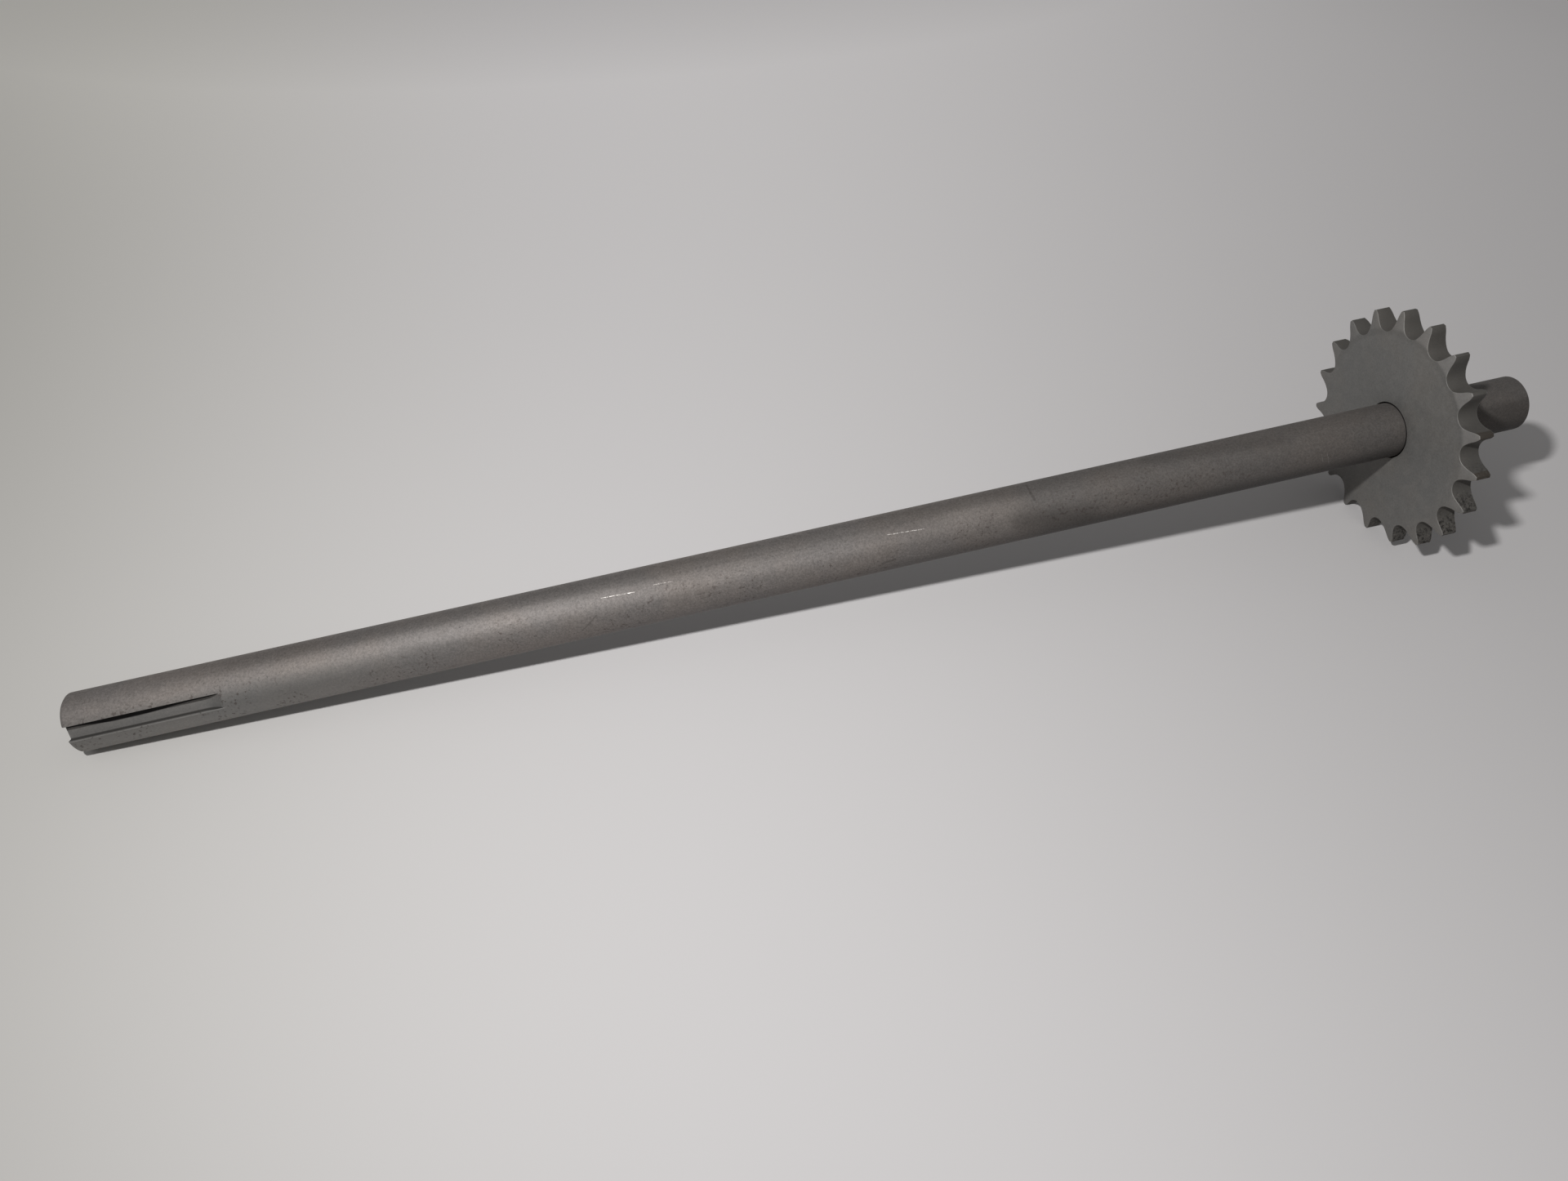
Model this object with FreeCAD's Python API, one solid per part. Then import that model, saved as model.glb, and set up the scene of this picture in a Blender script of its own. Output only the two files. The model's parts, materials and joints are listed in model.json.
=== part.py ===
import FreeCAD, Part
import math
import os

from FreeCAD import Rotation, Vector

# A drive shaft: a round bar with a keyway at one end and a flat plate sprocket for
# roller chain welded on near the other. It lies as it comes to rest on a level
# surface, on the rim of its keyed end and on its two lowest teeth. Millimetres.

# Bar
BAR_DIAMETER = 23.8125
KEYED_LENGTH = 558.8  # end face of the keyed end to the sprocket's front face
STUB_LENGTH = 50.8  # sprocket's back face to the far end of the bar
END_CHAMFER = 0.8

# Keyway, cut by a wheel cutter that lifts away at its inner end
KEYWAY_WIDTH = 6.35
KEYWAY_SIDE_DEPTH = 3.175  # height of the keyway's side walls
KEYWAY_FULL_LENGTH = 50.8  # end face to where the cutter lifts away
KEYWAY_CUTTER_DIAMETER = 22.225
KEYWAY_ANGLE = 65.0  # degrees from straight up, towards the front (-Y)

# Sprocket
CHAIN_PITCH = 15.875
CHAIN_ROLLER_DIAMETER = 10.16
TOOTH_COUNT = 19
PLATE_THICKNESS = 8.7122
BEVEL_RADIAL = 7.9375  # how far the bevel of each face reaches in from the tips
BEVEL_AXIAL = 1.2  # what the bevel takes off each face at the tips
BORE_CLEARANCE = 0.55  # radial gap between the bar and the plate's bore
TIP_LAND = 0.4  # least flat left on a tooth's tip where a large roller thins the teeth

# Weld behind the plate
WELD_LEG = 5.0
WELD_CROWN = 0.7  # how far the bead's face bulges out
WELD_PENETRATION = 0.8  # how deep the bead melts into the bar

CUT_OVERSHOOT = 5.0  # how far the keyway's cutting solid runs past the bar

BAR_RADIUS = BAR_DIAMETER / 2
BAR_LENGTH = KEYED_LENGTH + PLATE_THICKNESS + STUB_LENGTH
PLATE_BACK = KEYED_LENGTH + PLATE_THICKNESS
HALF_TOOTH_ANGLE = math.pi / TOOTH_COUNT
PITCH_RADIUS = CHAIN_PITCH / (2 * math.sin(HALF_TOOTH_ANGLE))
FULL_TIP_RADIUS = CHAIN_PITCH * (0.6 + 1 / math.tan(HALF_TOOTH_ANGLE)) / 2

X_AXIS = Vector(1, 0, 0)
Y_AXIS = Vector(0, 1, 0)
ORIGIN = Vector(0, 0, 0)


def revolve_profile(points):
    """Turn a closed profile of (x, radius) corners once round the X axis."""
    corners = [Vector(x, 0, radius) for x, radius in points]
    wire = Part.makePolygon(corners + corners[:1])
    return Part.Face(wire).revolve(ORIGIN, X_AXIS, 360)


def polar(radius, angle):
    """Point in the YZ plane at an angle from +Z, positive towards -Y."""
    return Vector(0, -radius * math.sin(angle), radius * math.cos(angle))


def weld_root_profile():
    """Triangle that the bead melts into the bar, as (x, radius) corners."""
    deepest = BAR_RADIUS - WELD_PENETRATION
    return [
        (PLATE_BACK, BAR_RADIUS),
        (PLATE_BACK + WELD_LEG / 2, deepest),
        (PLATE_BACK + WELD_LEG, BAR_RADIUS),
    ]


def make_keyway_cutter():
    """The space that the wheel cutter sweeps, pointing straight up."""
    side_height = math.sqrt(BAR_RADIUS**2 - (KEYWAY_WIDTH / 2) ** 2)
    floor = side_height - KEYWAY_SIDE_DEPTH
    cutter_radius = KEYWAY_CUTTER_DIAMETER / 2
    width_start = Vector(0, -KEYWAY_WIDTH / 2, 0)
    slot = Part.makeBox(
        KEYWAY_FULL_LENGTH + CUT_OVERSHOOT,
        KEYWAY_WIDTH,
        BAR_RADIUS - floor + CUT_OVERSHOOT,
        width_start + Vector(-CUT_OVERSHOOT, 0, floor),
    )
    wheel = Part.makeCylinder(
        cutter_radius,
        KEYWAY_WIDTH,
        width_start + Vector(KEYWAY_FULL_LENGTH, 0, floor + cutter_radius),
        Y_AXIS,
    )
    return slot.fuse(wheel)


def make_shaft():
    """The bar: chamfered ends, the keyway and the groove that the weld fills."""
    bar = revolve_profile(
        [
            (0, 0),
            (0, BAR_RADIUS - END_CHAMFER),
            (END_CHAMFER, BAR_RADIUS),
            *weld_root_profile(),
            (BAR_LENGTH - END_CHAMFER, BAR_RADIUS),
            (BAR_LENGTH, BAR_RADIUS - END_CHAMFER),
            (BAR_LENGTH, 0),
        ]
    )
    cutter = make_keyway_cutter()
    cutter.rotate(ORIGIN, X_AXIS, KEYWAY_ANGLE)
    return bar.cut(cutter)


class ToothSpace:
    """One space between two teeth, for roller chain, centred on straight up.

    Right of its middle line the flank is a seating arc under the roller, a working
    arc, a short straight line and a topping arc that ends at the tip circle. The
    factors and angles are those of the standard tooth form for roller chain.
    """

    def __init__(self):
        roller = CHAIN_ROLLER_DIAMETER
        seat_radius = (1.005 * roller + 0.0762) / 2
        seat_angle = math.radians(35 + 60 / TOOTH_COUNT)
        work_angle = math.radians(18 - 56 / TOOTH_COUNT)
        roller_centre = (0, PITCH_RADIUS)
        work_centre = self.shift(roller_centre, 0.8 * roller, math.pi - seat_angle)
        work_radius = 0.8 * roller + seat_radius
        top_centre = self.shift(roller_centre, 1.4 * roller, -HALF_TOOTH_ANGLE)

        self.seat_bottom = self.shift(roller_centre, seat_radius, -math.pi / 2)
        self.seat_middle = self.shift(
            roller_centre, seat_radius, -(math.pi / 2 + seat_angle) / 2
        )
        self.seat_end = self.shift(roller_centre, seat_radius, -seat_angle)
        self.work_middle = self.shift(
            work_centre, work_radius, -seat_angle + work_angle / 2
        )
        line_angle = work_angle - seat_angle
        self.work_end = self.shift(work_centre, work_radius, line_angle)

        # The line runs square to the working arc's last radius, until it is square
        # to a radius of the topping arc too.
        along = (-math.sin(line_angle), math.cos(line_angle))
        to_top = (top_centre[0] - self.work_end[0], top_centre[1] - self.work_end[1])
        line_length = to_top[0] * along[0] + to_top[1] * along[1]
        self.line_end = (
            self.work_end[0] + line_length * along[0],
            self.work_end[1] + line_length * along[1],
        )
        top_radius = math.dist(self.line_end, top_centre)

        # The topping arc ends where it crosses the tip circle. That circle has the
        # standard radius, or a smaller one where the two flanks of a tooth come as
        # near as the least land before they reach it.
        centre_distance = math.hypot(*top_centre)
        centre_bearing = math.atan2(top_centre[1], top_centre[0])
        from_tooth = centre_bearing - (math.pi / 2 - HALF_TOOTH_ANGLE)
        across = centre_distance * math.sin(from_tooth) - TIP_LAND / 2
        thin_height = centre_distance * math.cos(from_tooth) + math.sqrt(
            top_radius**2 - across**2
        )
        thin_radius = math.hypot(thin_height, TIP_LAND / 2)
        self.tip_radius = min(FULL_TIP_RADIUS, thin_radius)
        cosine = (centre_distance**2 + self.tip_radius**2 - top_radius**2) / (
            2 * centre_distance * self.tip_radius
        )
        tip_bearing = centre_bearing + math.acos(cosine)
        self.tip = (
            self.tip_radius * math.cos(tip_bearing),
            self.tip_radius * math.sin(tip_bearing),
        )
        start = self.bearing(top_centre, self.line_end)
        end = self.bearing(top_centre, self.tip)
        self.top_middle = self.shift(top_centre, top_radius, (start + end) / 2)

    @staticmethod
    def shift(point, distance, bearing):
        return (
            point[0] + distance * math.cos(bearing),
            point[1] + distance * math.sin(bearing),
        )

    @staticmethod
    def bearing(start, end):
        """Direction from start to end, as an angle from 0 up to a full turn."""
        return math.atan2(end[1] - start[1], end[0] - start[0]) % (2 * math.pi)

    def tip_angle(self):
        """Angle at the shaft's axis between the space's middle and its tip corner."""
        return math.atan2(self.tip[0], self.tip[1])

    def edges(self):
        """Arcs and lines of the whole space, from its left tip to its right one."""

        def spot(point, side):
            return Vector(0, side * point[0], point[1])

        def flank(side):
            return [
                Part.Arc(
                    spot(self.seat_bottom, side),
                    spot(self.seat_middle, side),
                    spot(self.seat_end, side),
                ).toShape(),
                Part.Arc(
                    spot(self.seat_end, side),
                    spot(self.work_middle, side),
                    spot(self.work_end, side),
                ).toShape(),
                Part.LineSegment(
                    spot(self.work_end, side), spot(self.line_end, side)
                ).toShape(),
                Part.Arc(
                    spot(self.line_end, side),
                    spot(self.top_middle, side),
                    spot(self.tip, side),
                ).toShape(),
            ]

        return flank(-1)[::-1] + flank(1)


def sprocket_outline(space):
    """Closed outline of the plate: a space and a tooth's land, once for each tooth.

    The first space is straight down, so that the plate stands on two teeth.
    """
    edges = []
    for number in range(TOOTH_COUNT):
        middle = math.pi + 2 * number * HALF_TOOTH_ANGLE
        for edge in space.edges():
            edge.rotate(ORIGIN, X_AXIS, math.degrees(middle))
            edges.append(edge)
        land_start = polar(space.tip_radius, middle + space.tip_angle())
        land_top = polar(space.tip_radius, middle + HALF_TOOTH_ANGLE)
        land_end = polar(
            space.tip_radius, middle + 2 * HALF_TOOTH_ANGLE - space.tip_angle()
        )
        edges.append(Part.Arc(land_start, land_top, land_end).toShape())
    return Part.Wire(Part.__sortEdges__(edges))


def make_sprocket(space):
    """The toothed plate, bevelled on both faces and bored to go over the bar."""
    plate = Part.Face(sprocket_outline(space)).extrude(X_AXIS * PLATE_THICKNESS)
    plate.translate(X_AXIS * KEYED_LENGTH)
    bore = BAR_RADIUS + BORE_CLEARANCE
    bevel_start = space.tip_radius - BEVEL_RADIAL
    blank = revolve_profile(
        [
            (KEYED_LENGTH, bore),
            (KEYED_LENGTH, bevel_start),
            (KEYED_LENGTH + BEVEL_AXIAL, space.tip_radius),
            (PLATE_BACK - BEVEL_AXIAL, space.tip_radius),
            (PLATE_BACK, bevel_start),
            (PLATE_BACK, bore),
        ]
    )
    return plate.common(blank)


def make_weld_bead():
    """Fillet round the bar behind the plate, with a bulging face."""
    bar_toe = Vector(PLATE_BACK + WELD_LEG, 0, BAR_RADIUS)
    plate_toe = Vector(PLATE_BACK, 0, BAR_RADIUS + WELD_LEG)
    outward = Vector(1, 0, 1).normalize()
    crown = (bar_toe + plate_toe) / 2 + outward * WELD_CROWN
    root = [Vector(x, 0, radius) for x, radius in weld_root_profile()]
    wire = Part.Wire(
        [
            Part.Arc(bar_toe, crown, plate_toe).toShape(),
            Part.LineSegment(plate_toe, root[0]).toShape(),
            Part.LineSegment(root[0], root[1]).toShape(),
            Part.LineSegment(root[1], root[2]).toShape(),
        ]
    )
    return Part.Face(wire).revolve(ORIGIN, X_AXIS, 360)


def lay_at_rest(shapes, space):
    """Tilt and move the pieces so that they rest on the surface at height zero.

    The keyed end touches where its chamfer starts. The sprocket touches with the
    front corners of the two teeth beside its lowest space.
    """
    tooth_drop = space.tip_radius * math.cos(space.tip_angle())
    tooth_x = KEYED_LENGTH + BEVEL_AXIAL
    tilt = math.atan2(tooth_drop - BAR_RADIUS, tooth_x - END_CHAMFER)
    turn = Rotation(Y_AXIS, -math.degrees(tilt))
    contact = turn.multVec(Vector(END_CHAMFER, 0, -BAR_RADIUS))
    low_end = turn.multVec(Vector(0, 0, BAR_RADIUS - END_CHAMFER)).x
    high_end = turn.multVec(Vector(BAR_LENGTH, 0, END_CHAMFER - BAR_RADIUS)).x
    move = Vector(-(low_end + high_end) / 2, 0, -contact.z)
    for shape in shapes:
        shape.Placement = FreeCAD.Placement(move, turn).multiply(shape.Placement)


def main():
    space = ToothSpace()
    pieces = {
        "shaft": make_shaft(),
        "sprocket": make_sprocket(space),
        "weld_bead": make_weld_bead(),
    }
    lay_at_rest(pieces.values(), space)
    os.makedirs("parts", exist_ok=True)
    for node, shape in pieces.items():
        shape.exportStep(f"parts/{node}.step")


main()
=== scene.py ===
"""The looks of a drive shaft with a welded plate sprocket, built around its CAD model."""

import json
import math
from functools import cached_property

import bmesh
import bpy
import numpy as np
from bpy.props import (
    FloatProperty,
    FloatVectorProperty,
    IntProperty,
    PointerProperty,
)
from mathutils import Euler, Matrix, Vector


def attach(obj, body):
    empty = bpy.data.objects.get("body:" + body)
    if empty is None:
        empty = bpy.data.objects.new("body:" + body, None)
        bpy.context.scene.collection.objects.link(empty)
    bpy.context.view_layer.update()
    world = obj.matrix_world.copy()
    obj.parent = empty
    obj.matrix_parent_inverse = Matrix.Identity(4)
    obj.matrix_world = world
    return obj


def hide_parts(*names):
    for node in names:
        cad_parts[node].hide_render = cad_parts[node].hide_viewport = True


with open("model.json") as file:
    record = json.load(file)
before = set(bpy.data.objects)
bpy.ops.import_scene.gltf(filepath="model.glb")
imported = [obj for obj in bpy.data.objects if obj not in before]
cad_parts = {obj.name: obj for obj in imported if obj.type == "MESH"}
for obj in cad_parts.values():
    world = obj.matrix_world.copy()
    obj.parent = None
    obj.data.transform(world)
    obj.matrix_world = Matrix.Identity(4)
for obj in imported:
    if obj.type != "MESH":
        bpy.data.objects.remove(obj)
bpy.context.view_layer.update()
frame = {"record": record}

bl_info = {
    "name": "Sprocket Shaft",
    "version": (1, 0, 0),
    "blender": (4, 5, 0),
    "location": "3D View > Sidebar > Sprocket Shaft",
    "description": "Builds the bar, sprocket and weld of a drive shaft, and its stage",
    "category": "Object",
}

MILLIMETRE = 0.001
MOUNT_INSET = 0.001  # the end mounts lie this far inside the bar's end faces

# Meshes
SAME_PLACE = 2e-7  # points closer than this are merged
NO_LENGTH = 1e-7  # edges shorter than this are taken out
CREASE = math.radians(28)  # edges sharper than this show as edges
WELD_CREASE = 1.2  # the same for the weld, whose ripples stay smooth

# Bar: how its edges are worn, and how many rings and points it is made of
EDGE_SHARE = 0.12  # share of the end chamfer that each of its edges is rounded over
EDGE_WEAR = 0.35  # depth of that rounding as a share of its width
RUN_OUT = 0.0088  # rings stay close this far past the keyway, beyond its run-out
KEYWAY_FOOT_ROUND = 0.00022
KEYWAY_LIP_ROUND = 0.00012
KEYED_RINGS = 12
RUN_OUT_RINGS = 89
PLAIN_RINGS = 60
BAR_AROUND = 145
FLOOR_ACROSS = 15
ROUND_POINTS = 5

# Plate: points on each part of half a tooth space, and rings over a face
SEAT_POINTS = 12
WORK_POINTS = 6
TOP_POINTS = 9
LAND_POINTS = 4
EDGE_RINGS = 4
FACE_SHARES = (0.2, 0.6, 0.985)  # places of the face's rings between bore and bevel
CREASE_GAP = 1e-4  # between the two rings at the bevel's start

# Weld
WELD_AROUND = 920
WELD_ACROSS = 25
WELD_FULLNESS = 0.93  # mean size of the wandering legs as a share of the full leg
RIPPLE_BOW = 1.4  # how far a ripple is bowed, in ripples
WELD_SINK = 0.0004  # the bead reaches this far into the bar
WELD_SEAT = 0.00001  # the bead's inner corner stands this far off the plate

# Steel, and the colours of the marks on it, some of them painted light and shade
STEEL_METALLIC = 0.665
BUMP_HEIGHT = 0.00012
DARK_STRETCH = (0.050, 0.046, 0.042)
PAINTED_LIGHT_GREY = (0.147, 0.149, 0.145)
BAR_IN_BORE_PAINTED_SHADE = (0.004, 0.004, 0.004)
PLATE_BORE_PAINTED_SHADE = (0.006, 0.006, 0.006)
LIP_PAINTED_SHADOW = (0.004, 0.003, 0.004)
LOWER_WALL_DARK = (0.022, 0.020, 0.018)
LIP_PAINTED_HIGHLIGHT = (0.36, 0.35, 0.335)
BROWN_DOT = (0.060, 0.046, 0.041)
SCRATCH_COLOUR = (0.50, 0.47, 0.445)
SCUFF_COLOUR = (0.045, 0.040, 0.036)
PALE_BEVEL_AND_PAINTED_LIGHT = (0.235, 0.222, 0.212)
DARK_FLANK = (0.062, 0.056, 0.049)
WORN_EDGE = (0.36, 0.345, 0.33)
FAINT_RING = (0.085, 0.082, 0.078)
BLACK_PIT = (0.012, 0.011, 0.010)
BROWN_TIP = (0.050, 0.040, 0.031)
PALE_SPOT = (0.20, 0.185, 0.165)
TOOTH_ZONE = (30.0, 34.0)  # marks on the teeth fade in over these radii, in millimetres

# Bright scratches on the bar: start, end and strength. A place is millimetres from
# the keyed end and millimetres of arc from straight up towards the front.
SCRATCHES = (
    ((209.2, 6.5), (222.3, 7.0), 0.70),
    ((230.6, 5.8), (237.9, 6.1), 0.40),
    ((327.8, 6.6), (343.3, 7.5), 0.80),
    ((334.4, 17.6), (344.0, 19.6), 0.25),
    ((519.4, 13.3), (520.6, 17.5), 0.22),
    ((522.0, 13.5), (523.8, 19.2), 0.22),
)
# Dark scuffs on the bar: start, end, width and strength
SCUFFS = (
    ((386.0, 13.0), (414.0, 18.0), 9.0, 0.42),
    ((445.0, -2.0), (505.0, 4.0), 5.0, 0.24),
    ((130.0, 9.0), (158.0, 12.5), 3.5, 0.12),
    ((391.6, -3.3), (391.3, 2.3), 0.9, 0.45),
    ((391.3, 2.3), (391.9, 5.7), 1.1, 0.50),
    ((323.9, 18.6), (329.5, 18.0), 1.0, 0.50),
    ((198.9, 18.4), (205.7, 13.0), 0.6, 0.40),
    ((180.3, 15.9), (180.8, 15.9), 0.7, 0.60),
    ((247.2, 13.7), (249.6, 13.6), 0.6, 0.35),
    ((276.2, 5.1), (298.6, 4.5), 0.3, 0.35),
)

FLOOR_REACH = 6.0  # half the floor's side
BRIGHTEST_FLOOR = 2.18  # the most that the room lights the floor, as a factor


# Sizes and colours that a user would change


class BarSettings(bpy.types.PropertyGroup):
    diameter: FloatProperty(
        name="Diameter",
        description="Diameter of the round bar",
        default=0.0238125,
        unit="LENGTH",
    )
    keyed_length: FloatProperty(
        name="Keyed length",
        description="From the keyed end's face to the sprocket's front face",
        default=0.5588,
        unit="LENGTH",
    )
    stub_length: FloatProperty(
        name="Stub length",
        description="From the sprocket's back face to the far end of the bar",
        default=0.0508,
        unit="LENGTH",
    )
    chamfer: FloatProperty(
        name="End chamfer",
        description="Width of the 45 degree chamfer on both ends",
        default=0.0008,
        unit="LENGTH",
    )
    key_width: FloatProperty(
        name="Keyway width",
        description="Width of the groove for the key",
        default=0.00635,
        unit="LENGTH",
    )
    key_depth: FloatProperty(
        name="Keyway side depth",
        description="Height of the keyway's side walls",
        default=0.003175,
        unit="LENGTH",
    )
    key_length: FloatProperty(
        name="Keyway length",
        description="From the end face to where the cutter lifts away",
        default=0.0508,
        unit="LENGTH",
    )
    cutter_diameter: FloatProperty(
        name="Cutter diameter",
        description="Diameter of the wheel cutter that leaves the keyway's run-out",
        default=0.022225,
        unit="LENGTH",
    )
    key_angle: FloatProperty(
        name="Keyway angle",
        description="Angle of the keyway from straight up, towards the front",
        default=math.radians(65),
        subtype="ANGLE",
    )
    colour: FloatVectorProperty(
        name="Colour",
        description="Mean colour of the bar's blasted steel",
        default=(0.157, 0.1425, 0.1345),
        subtype="COLOR",
        size=3,
        min=0,
        max=1,
    )
    roughness: FloatProperty(
        name="Roughness",
        description="Mean roughness of the bar's blasted steel",
        default=0.66,
        min=0,
        max=1,
        subtype="FACTOR",
    )


class SprocketSettings(bpy.types.PropertyGroup):
    chain_pitch: FloatProperty(
        name="Chain pitch",
        description="Pitch of the roller chain that the teeth take",
        default=0.015875,
        unit="LENGTH",
    )
    roller_diameter: FloatProperty(
        name="Roller diameter",
        description="Diameter of the chain's rollers",
        default=0.01016,
        unit="LENGTH",
    )
    tooth_count: IntProperty(
        name="Teeth",
        description="Number of teeth",
        default=19,
        min=9,
    )
    thickness: FloatProperty(
        name="Plate thickness",
        description="Thickness of the plate",
        default=0.0087122,
        unit="LENGTH",
    )
    bevel_reach: FloatProperty(
        name="Bevel reach",
        description="How far the bevel of each face reaches in from the tips",
        default=0.0079375,
        unit="LENGTH",
    )
    bevel_depth: FloatProperty(
        name="Bevel depth",
        description="What the bevel takes off each face at the tips",
        default=0.0012,
        unit="LENGTH",
    )
    bore_clearance: FloatProperty(
        name="Bore clearance",
        description="Radial gap between the bar and the plate's bore",
        default=0.00055,
        unit="LENGTH",
    )
    edge_break: FloatProperty(
        name="Edge break",
        description="Radius that blasting has left on the plate's edges",
        default=0.00022,
        unit="LENGTH",
    )
    colour: FloatVectorProperty(
        name="Colour",
        description="Mean colour of the plate's blasted steel",
        default=(0.151, 0.147, 0.140),
        subtype="COLOR",
        size=3,
        min=0,
        max=1,
    )
    roughness: FloatProperty(
        name="Roughness",
        description="Mean roughness of the plate's blasted steel",
        default=0.66,
        min=0,
        max=1,
        subtype="FACTOR",
    )


class WeldSettings(bpy.types.PropertyGroup):
    leg: FloatProperty(
        name="Leg",
        description="Leg of the fillet on the bar and on the plate",
        default=0.005,
        unit="LENGTH",
    )
    crown: FloatProperty(
        name="Crown",
        description="How far the bead's face bulges out",
        default=0.0007,
        unit="LENGTH",
    )
    ripples: IntProperty(
        name="Ripples",
        description="Number of solidified ripples round the bar",
        default=46,
        min=1,
    )
    ripple_height: FloatProperty(
        name="Ripple height",
        description="Height of one ripple",
        default=0.00016,
        unit="LENGTH",
    )
    colour: FloatVectorProperty(
        name="Colour",
        description="Mean colour of the blasted weld metal",
        default=(0.145, 0.142, 0.137),
        subtype="COLOR",
        size=3,
        min=0,
        max=1,
    )
    roughness: FloatProperty(
        name="Roughness",
        description="Mean roughness of the blasted weld metal",
        default=0.55,
        min=0,
        max=1,
        subtype="FACTOR",
    )


class StageSettings(bpy.types.PropertyGroup):
    floor_colour: FloatVectorProperty(
        name="Floor colour",
        description="Colour of the pale floor",
        default=(0.4505, 0.4375, 0.436),
        subtype="COLOR",
        size=3,
        min=0,
        max=1,
    )
    lamp_place: FloatVectorProperty(
        name="Lamp",
        description="Where the key lamp stands",
        default=(-0.236, -0.241, 0.523),
        subtype="TRANSLATION",
        size=3,
    )
    lamp_aim: FloatVectorProperty(
        name="Lamp's aim",
        description="Place that the key lamp's disc faces",
        default=(0.69, 0.76, 0.15),
        subtype="TRANSLATION",
        size=3,
    )
    lamp_size: FloatProperty(
        name="Lamp size",
        description="Diameter of the key lamp's disc",
        default=0.038,
        unit="LENGTH",
    )
    lamp_power: FloatProperty(
        name="Lamp power",
        description="Power of the key lamp in watts",
        default=6.0,
        min=0,
    )
    fill: FloatProperty(
        name="Fill",
        description="Strength of the even light from all around",
        default=0.28,
        min=0,
    )
    eye: FloatVectorProperty(
        name="Camera",
        description="Where the camera stands",
        default=(-0.09321, -0.31754, 0.35004),
        subtype="TRANSLATION",
        size=3,
    )
    camera_turn: FloatVectorProperty(
        name="Camera's turn",
        description="The camera's turn about X, Y and Z from looking straight down",
        default=(0.772301, 0.01283, -0.226776),
        subtype="EULER",
        size=3,
    )
    lens: FloatProperty(
        name="Focal length",
        description="Focal length in millimetres on a 36 mm sensor",
        default=25.048,
        min=1,
    )


# The bar's own frame, and meshes from grids of points


def bar_frame():
    """Origin at the keyed end's centre, and a matrix whose rows are the bar's own axes.

    The first axis runs along the bar, the second stays level and the third points up
    from the bar. They come from the mount that the record states on the keyed end.
    """
    mounts = {mount["name"]: mount for mount in frame["record"]["mounts"]}
    keyed = mounts["keyed_end"]
    along = -np.array(keyed["axis"], float)
    origin = np.array(keyed["pos_m"], float) - MOUNT_INSET * along
    across = np.array([0.0, 1.0, 0.0])
    return origin, np.array([along, across, np.cross(along, across)])


def to_world(points):
    """Points of the bar's own frame, moved to the row frame."""
    origin, axes = bar_frame()
    return points @ axes + origin


def signed_volume(points, quads):
    """Six times the volume that the quads close, below zero where they face inwards.

    Each quad's two triangles add the triple product of their corners.
    """
    a, b, c, d = (points[quads[:, k]] for k in range(4))
    return (np.cross(a, b) * c).sum() + (np.cross(a, c) * d).sum()


def tube_mesh(name, rings, join_ends=False):
    """Mesh from rings of points, as an array of rings by points by three.

    Neighbouring rings are joined by quads. The first and last ring are joined to each
    other, or else each is closed by a flat face. Points that coincide are merged.
    """
    count, around = rings.shape[:2]
    points = rings.reshape(-1, 3)
    ring = np.arange(count if join_ends else count - 1)[:, None]
    place = np.arange(around)[None, :]
    after = (place + 1) % around
    facing_light = (ring + 1) % count
    corners = [
        ring * around + place,
        ring * around + after,
        facing_light * around + after,
        facing_light * around + place,
    ]
    quads = np.stack(corners, axis=-1).reshape(-1, 4)
    faces = quads.tolist()
    if not join_ends:
        first = list(range(around))
        last = [(count - 1) * around + k for k in range(around)]
        faces += [first[::-1], last]
    if signed_volume(points - points.mean(axis=0), quads) < 0:
        faces = [face[::-1] for face in faces]
    mesh = bpy.data.meshes.new(name)
    mesh.from_pydata(to_world(points).tolist(), [], faces)
    cleaned = bmesh.new()
    cleaned.from_mesh(mesh)
    bmesh.ops.remove_doubles(cleaned, verts=cleaned.verts, dist=SAME_PLACE)
    bmesh.ops.dissolve_degenerate(cleaned, edges=cleaned.edges, dist=NO_LENGTH)
    cleaned.to_mesh(mesh)
    cleaned.free()
    mesh.validate()
    return mesh


def add_piece(name, mesh, node, finish, crease=CREASE):
    """Put a finished mesh into the scene in place of a CAD node."""
    mesh.polygons.foreach_set("use_smooth", np.ones(len(mesh.polygons), bool))
    mesh.set_sharp_from_angle(angle=crease)
    mesh.materials.append(finish)
    piece = bpy.data.objects.new(name, mesh)
    bpy.context.scene.collection.objects.link(piece)
    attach(piece, "root")
    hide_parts(node)


# The bar


def keyway_heights(bar):
    """Heights above the bar's axis of the keyway's lips and of its level floor.

    The lips are where the key's half width meets the round bar, and the floor lies
    under them by the side walls' height.
    """
    lip = math.sqrt((bar.diameter / 2) ** 2 - (bar.key_width / 2) ** 2)
    return lip, lip - bar.key_depth


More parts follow.
